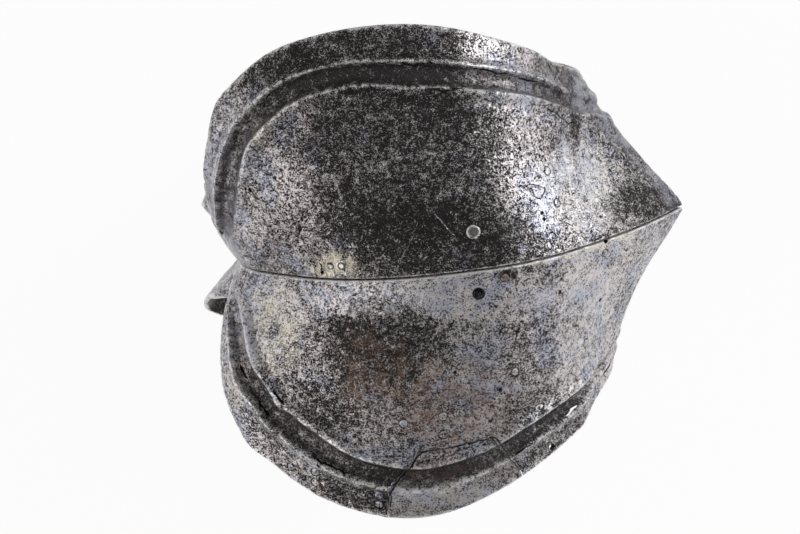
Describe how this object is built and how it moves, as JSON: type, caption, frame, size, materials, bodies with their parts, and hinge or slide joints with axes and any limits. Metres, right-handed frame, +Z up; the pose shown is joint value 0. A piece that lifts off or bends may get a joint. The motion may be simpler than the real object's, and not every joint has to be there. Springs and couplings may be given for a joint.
{
  "type": "elbow cop",
  "caption": "Closed elbow cop of pitted steel: two lapped plates round the elbow, a sharp point, a notched rear and a stepped border.",
  "frame": {"origin": "centre of the bounding box on the plane that the cop lies on", "axes": "+X from the notched rear to the point of the elbow, +Y up the arm, +Z up, from the narrow side that it lies on to the broad wing"},
  "size_m": [0.16, 0.164, 0.1169],
  "materials": {
    "upper_steel": "dark patinated and pitted steel, half gloss",
    "lower_steel": "pitted blue-grey steel, half gloss",
    "mend_steel": "browner, less pitted steel",
    "rivet_steel": "dark steel, filed flush"
  },
  "bodies": {
    "root": {"upper_plate": "upper_steel", "lower_plate": "lower_steel", "rim_mend": "mend_steel", "lace_hole_plug": "rivet_steel", "seam_rivet_near_1": "rivet_steel", "seam_rivet_near_2": "rivet_steel", "seam_rivet_near_3": "rivet_steel", "seam_rivet_near_4": "rivet_steel", "seam_rivet_near_5": "rivet_steel", "seam_rivet_far_1": "rivet_steel", "seam_rivet_far_2": "rivet_steel", "seam_rivet_far_3": "rivet_steel", "rear_rivet_upper": "rivet_steel", "rear_rivet_lower": "rivet_steel", "lining_rivet_1": "rivet_steel", "lining_rivet_2": "rivet_steel", "lining_rivet_3": "rivet_steel", "lining_rivet_4": "rivet_steel", "lining_rivet_5": "rivet_steel", "lining_rivet_6": "rivet_steel", "mend_rivet_1": "rivet_steel", "mend_rivet_2": "rivet_steel", "mend_rivet_3": "rivet_steel", "mend_rivet_4": "rivet_steel", "mend_rivet_5": "rivet_steel", "mend_rivet_6": "rivet_steel"}
  },
  "joints": []
}
